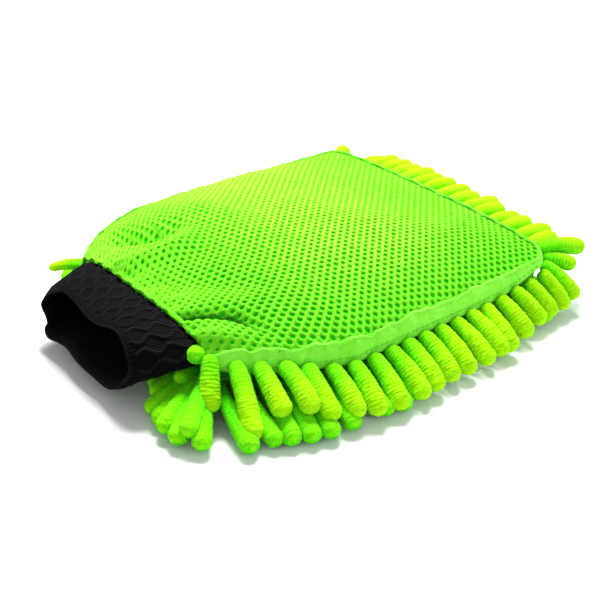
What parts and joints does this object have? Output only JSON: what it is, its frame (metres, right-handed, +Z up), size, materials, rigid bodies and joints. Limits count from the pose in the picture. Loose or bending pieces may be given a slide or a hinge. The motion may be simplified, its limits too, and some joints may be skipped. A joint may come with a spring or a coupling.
{
  "type": "wash mitt",
  "caption": "Chenille car wash mitt lying palm down: puffed eyelet-mesh top over a lined hand pocket, fringe of hinged noodles round the edge, knitted cuff.",
  "frame": {"origin": "middle of the mitt's footprint, on the surface it lies on", "axes": "+X from the cuff to the fingertip end, +Y across the width, +Z up out of the mesh top"},
  "size_m": [0.27, 0.2442, 0.047],
  "materials": {
    "eyelet_mesh": "lime green open-hole warp-knit mesh, matte",
    "lining": "saturated green knit lining, matte",
    "edge_band": "plain lime green knit band, matte with slight sheen",
    "palm_backing": "plain lime green woven backing, matte",
    "chenille": "yellow-green microfibre chenille, fuzzy, ribbed",
    "thread": "green polyester sewing thread",
    "black_knit": "black stretch rib knit with relief pattern, matte"
  },
  "bodies": {
    "mitt_body": {"mesh_top_panel": "eyelet_mesh", "pocket_lining_top": "lining", "pocket_lining_bottom": "lining", "palm_backing": "palm_backing", "front_edge_band": "edge_band", "back_edge_band": "edge_band", "fingertip_edge_band": "edge_band", "perimeter_topstitch": "thread", "cuff_root_gather": "black_knit", "palm_noodle_strip_1": "chenille", "palm_noodle_strip_2": "chenille", "palm_noodle_strip_3": "chenille", "palm_noodle_strip_4": "chenille", "palm_noodle_strip_5": "chenille", "palm_noodle_strip_6": "chenille", "cuff_noodle_strip": "chenille"},
    "cuff": {"cuff_knit_outer": "black_knit", "cuff_knit_inner": "black_knit", "cuff_rim_fold": "black_knit"},
    "front_noodle_01": {"front_noodle_01": "chenille"},
    "front_noodle_02": {"front_noodle_02": "chenille"},
    "front_noodle_03": {"front_noodle_03": "chenille"},
    "front_noodle_04": {"front_noodle_04": "chenille"},
    "front_noodle_05": {"front_noodle_05": "chenille"},
    "front_noodle_06": {"front_noodle_06": "chenille"},
    "front_noodle_07": {"front_noodle_07": "chenille"},
    "front_noodle_08": {"front_noodle_08": "chenille"},
    "front_noodle_09": {"front_noodle_09": "chenille"},
    "front_noodle_10": {"front_noodle_10": "chenille"},
    "front_noodle_11": {"front_noodle_11": "chenille"},
    "front_noodle_12": {"front_noodle_12": "chenille"},
    "front_noodle_13": {"front_noodle_13": "chenille"},
    "front_noodle_14": {"front_noodle_14": "chenille"},
    "front_noodle_15": {"front_noodle_15": "chenille"},
    "front_noodle_16": {"front_noodle_16": "chenille"},
    "front_noodle_17": {"front_noodle_17": "chenille"},
    "front_noodle_18": {"front_noodle_18": "chenille"},
    "front_noodle_19": {"front_noodle_19": "chenille"},
    "fingertip_noodle_01": {"fingertip_noodle_01": "chenille"},
    "fingertip_noodle_02": {"fingertip_noodle_02": "chenille"},
    "fingertip_noodle_03": {"fingertip_noodle_03": "chenille"},
    "fingertip_noodle_04": {"fingertip_noodle_04": "chenille"},
    "fingertip_noodle_05": {"fingertip_noodle_05": "chenille"},
    "fingertip_noodle_06": {"fingertip_noodle_06": "chenille"},
    "fingertip_noodle_07": {"fingertip_noodle_07": "chenille"},
    "fingertip_noodle_08": {"fingertip_noodle_08": "chenille"},
    "fingertip_noodle_09": {"fingertip_noodle_09": "chenille"},
    "fingertip_noodle_10": {"fingertip_noodle_10": "chenille"},
    "fingertip_noodle_11": {"fingertip_noodle_11": "chenille"},
    "fingertip_noodle_12": {"fingertip_noodle_12": "chenille"},
    "fingertip_noodle_13": {"fingertip_noodle_13": "chenille"},
    "fingertip_noodle_14": {"fingertip_noodle_14": "chenille"},
    "fingertip_noodle_15": {"fingertip_noodle_15": "chenille"},
    "front_corner_noodle_1": {"front_corner_noodle_1": "chenille"},
    "front_corner_noodle_2": {"front_corner_noodle_2": "chenille"},
    "back_corner_noodle": {"back_corner_noodle": "chenille"},
    "back_noodle_strip_1": {"back_noodle_strip_1": "chenille"},
    "back_noodle_strip_2": {"back_noodle_strip_2": "chenille"},
    "back_noodle_strip_3": {"back_noodle_strip_3": "chenille"},
    "back_noodle_strip_4": {"back_noodle_strip_4": "chenille"}
  },
  "joints": [
    {"name": "cuff_flex", "type": "hinge", "parent": "mitt_body", "child": "cuff", "pos_m": [-0.1085, 0, 0.029], "axis": [0, 1, 0], "range_deg": [-10, 30], "stiffness_Nm_per_rad": 0.1, "deforming": ["cuff_root_gather"]},
    {"name": "front_noodle_01_swing", "type": "hinge", "parent": "mitt_body", "child": "front_noodle_01", "pos_m": [-0.10311, -0.06527, 0.0185], "axis": [-0.8315, 0.5555, 0], "range_deg": [0, 35]},
    {"name": "front_noodle_02_swing", "type": "hinge", "parent": "mitt_body", "child": "front_noodle_02", "pos_m": [-0.09402, -0.07121, 0.0185], "axis": [-0.8435, 0.5372, 0], "range_deg": [0, 35]},
    {"name": "front_noodle_03_swing", "type": "hinge", "parent": "mitt_body", "child": "front_noodle_03", "pos_m": [-0.08442, -0.07716, 0.0185], "axis": [-0.8576, 0.5143, 0], "range_deg": [0, 35]},
    {"name": "front_noodle_04_swing", "type": "hinge", "parent": "mitt_body", "child": "front_noodle_04", "pos_m": [-0.07478, -0.08274, 0.0185], "axis": [-0.8739, 0.486, 0], "range_deg": [0, 35]},
    {"name": "front_noodle_05_swing", "type": "hinge", "parent": "mitt_body", "child": "front_noodle_05", "pos_m": [-0.06511, -0.08789, 0.0185], "axis": [-0.8935, 0.4492, 0], "range_deg": [0, 35]},
    {"name": "front_noodle_06_swing", "type": "hinge", "parent": "mitt_body", "child": "front_noodle_06", "pos_m": [-0.05484, -0.0927, 0.0185], "axis": [-0.9198, 0.3925, 0], "range_deg": [0, 35]},
    {"name": "front_noodle_07_swing", "type": "hinge", "parent": "mitt_body", "child": "front_noodle_07", "pos_m": [-0.0443, -0.09661, 0.0185], "axis": [-0.9607, 0.2776, 0], "range_deg": [0, 35]},
    {"name": "front_noodle_08_swing", "type": "hinge", "parent": "mitt_body", "child": "front_noodle_08", "pos_m": [-0.032, -0.0977, 0.0185], "axis": [-1, 0, 0], "range_deg": [0, 35]},
    {"name": "front_noodle_09_swing", "type": "hinge", "parent": "mitt_body", "child": "front_noodle_09", "pos_m": [-0.0215, -0.0977, 0.0185], "axis": [-1, 0, 0], "range_deg": [0, 35]},
    {"name": "front_noodle_10_swing", "type": "hinge", "parent": "mitt_body", "child": "front_noodle_10", "pos_m": [-0.0105, -0.0977, 0.0185], "axis": [-1, 0, 0], "range_deg": [0, 35]},
    {"name": "front_noodle_11_swing", "type": "hinge", "parent": "mitt_body", "child": "front_noodle_11", "pos_m": [0.0005, -0.0977, 0.0185], "axis": [-1, 0, 0], "range_deg": [0, 35]},
    {"name": "front_noodle_12_swing", "type": "hinge", "parent": "mitt_body", "child": "front_noodle_12", "pos_m": [0.0115, -0.0977, 0.0185], "axis": [-1, 0, 0], "range_deg": [0, 35]},
    {"name": "front_noodle_13_swing", "type": "hinge", "parent": "mitt_body", "child": "front_noodle_13", "pos_m": [0.0225, -0.0977, 0.0185], "axis": [-1, 0, 0], "range_deg": [0, 35]},
    {"name": "front_noodle_14_swing", "type": "hinge", "parent": "mitt_body", "child": "front_noodle_14", "pos_m": [0.033, -0.0977, 0.0185], "axis": [-1, 0, 0], "range_deg": [0, 35]},
    {"name": "front_noodle_15_swing", "type": "hinge", "parent": "mitt_body", "child": "front_noodle_15", "pos_m": [0.044, -0.0977, 0.0185], "axis": [-1, 0, 0], "range_deg": [0, 35]},
    {"name": "front_noodle_16_swing", "type": "hinge", "parent": "mitt_body", "child": "front_noodle_16", "pos_m": [0.055, -0.0977, 0.0185], "axis": [-1, 0, 0], "range_deg": [0, 35]},
    {"name": "front_noodle_17_swing", "type": "hinge", "parent": "mitt_body", "child": "front_noodle_17", "pos_m": [0.066, -0.0977, 0.0185], "axis": [-1, 0, 0], "range_deg": [0, 35]},
    {"name": "front_noodle_18_swing", "type": "hinge", "parent": "mitt_body", "child": "front_noodle_18", "pos_m": [0.077, -0.0977, 0.0185], "axis": [-1, 0, 0], "range_deg": [0, 35]},
    {"name": "front_noodle_19_swing", "type": "hinge", "parent": "mitt_body", "child": "front_noodle_19", "pos_m": [0.0875, -0.0977, 0.0185], "axis": [-1, 0, 0], "range_deg": [0, 35]},
    {"name": "fingertip_noodle_01_swing", "type": "hinge", "parent": "mitt_body", "child": "fingertip_noodle_01", "pos_m": [0.1067, -0.0742, 0.02595], "axis": [0, -1, 0], "range_deg": [0, 35]},
    {"name": "fingertip_noodle_02_swing", "type": "hinge", "parent": "mitt_body", "child": "fingertip_noodle_02", "pos_m": [0.1067, -0.0636, 0.0281], "axis": [0, -1, 0], "range_deg": [0, 35]},
    {"name": "fingertip_noodle_03_swing", "type": "hinge", "parent": "mitt_body", "child": "fingertip_noodle_03", "pos_m": [0.1067, -0.053, 0.0294], "axis": [0, -1, 0], "range_deg": [0, 35]},
    {"name": "fingertip_noodle_04_swing", "type": "hinge", "parent": "mitt_body", "child": "fingertip_noodle_04", "pos_m": [0.1067, -0.0424, 0.0302], "axis": [0, -1, 0], "range_deg": [0, 35]},
    {"name": "fingertip_noodle_05_swing", "type": "hinge", "parent": "mitt_body", "child": "fingertip_noodle_05", "pos_m": [0.1067, -0.0318, 0.03067], "axis": [0, -1, 0], "range_deg": [0, 35]},
    {"name": "fingertip_noodle_06_swing", "type": "hinge", "parent": "mitt_body", "child": "fingertip_noodle_06", "pos_m": [0.1067, -0.0212, 0.0309], "axis": [0, -1, 0], "range_deg": [0, 35]},
    {"name": "fingertip_noodle_07_swing", "type": "hinge", "parent": "mitt_body", "child": "fingertip_noodle_07", "pos_m": [0.1067, -0.0106, 0.03099], "axis": [0, -1, 0], "range_deg": [0, 35]},
    {"name": "fingertip_noodle_08_swing", "type": "hinge", "parent": "mitt_body", "child": "fingertip_noodle_08", "pos_m": [0.1067, 0, 0.031], "axis": [0, -1, 0], "range_deg": [0, 35]},
    {"name": "fingertip_noodle_09_swing", "type": "hinge", "parent": "mitt_body", "child": "fingertip_noodle_09", "pos_m": [0.1067, 0.0106, 0.03099], "axis": [0, -1, 0], "range_deg": [0, 35]},
    {"name": "fingertip_noodle_10_swing", "type": "hinge", "parent": "mitt_body", "child": "fingertip_noodle_10", "pos_m": [0.1067, 0.0212, 0.0309], "axis": [0, -1, 0], "range_deg": [0, 35]},
    {"name": "fingertip_noodle_11_swing", "type": "hinge", "parent": "mitt_body", "child": "fingertip_noodle_11", "pos_m": [0.1067, 0.0318, 0.03067], "axis": [0, -1, 0], "range_deg": [0, 35]},
    {"name": "fingertip_noodle_12_swing", "type": "hinge", "parent": "mitt_body", "child": "fingertip_noodle_12", "pos_m": [0.1067, 0.0424, 0.0302], "axis": [0, -1, 0], "range_deg": [0, 35]},
    {"name": "fingertip_noodle_13_swing", "type": "hinge", "parent": "mitt_body", "child": "fingertip_noodle_13", "pos_m": [0.1067, 0.053, 0.0294], "axis": [0, -1, 0], "range_deg": [0, 35]},
    {"name": "fingertip_noodle_14_swing", "type": "hinge", "parent": "mitt_body", "child": "fingertip_noodle_14", "pos_m": [0.1067, 0.0636, 0.0281], "axis": [0, -1, 0], "range_deg": [0, 35]},
    {"name": "fingertip_noodle_15_swing", "type": "hinge", "parent": "mitt_body", "child": "fingertip_noodle_15", "pos_m": [0.1067, 0.0742, 0.02595], "axis": [0, -1, 0], "range_deg": [0, 35]},
    {"name": "front_corner_noodle_1_swing", "type": "hinge", "parent": "mitt_body", "child": "front_corner_noodle_1", "pos_m": [0.10433, -0.08885, 0.0235], "axis": [-0.5, -0.866, 0], "range_deg": [0, 35]},
    {"name": "front_corner_noodle_2_swing", "type": "hinge", "parent": "mitt_body", "child": "front_corner_noodle_2", "pos_m": [0.09731, -0.09563, 0.0235], "axis": [-0.8829, -0.4695, 0], "range_deg": [0, 35]},
    {"name": "back_corner_noodle_swing", "type": "hinge", "parent": "mitt_body", "child": "back_corner_noodle", "pos_m": [0.10129, 0.09273, 0.0235], "axis": [0.7193, -0.6947, 0], "range_deg": [0, 35]},
    {"name": "back_noodle_strip_1_swing", "type": "hinge", "parent": "mitt_body", "child": "back_noodle_strip_1", "pos_m": [-0.08543, 0.07655, 0.0185], "axis": [0.8575, 0.5145, 0], "range_deg": [0, 35]},
    {"name": "back_noodle_strip_2_swing", "type": "hinge", "parent": "mitt_body", "child": "back_noodle_strip_2", "pos_m": [-0.0355, 0.0977, 0.0185], "axis": [0.9897, 0.1431, 0], "range_deg": [0, 35]},
    {"name": "back_noodle_strip_3_swing", "type": "hinge", "parent": "mitt_body", "child": "back_noodle_strip_3", "pos_m": [0.0165, 0.0977, 0.0185], "axis": [1, 0, 0], "range_deg": [0, 35]},
    {"name": "back_noodle_strip_4_swing", "type": "hinge", "parent": "mitt_body", "child": "back_noodle_strip_4", "pos_m": [0.0685, 0.0977, 0.0185], "axis": [1, 0, 0], "range_deg": [0, 35]}
  ]
}
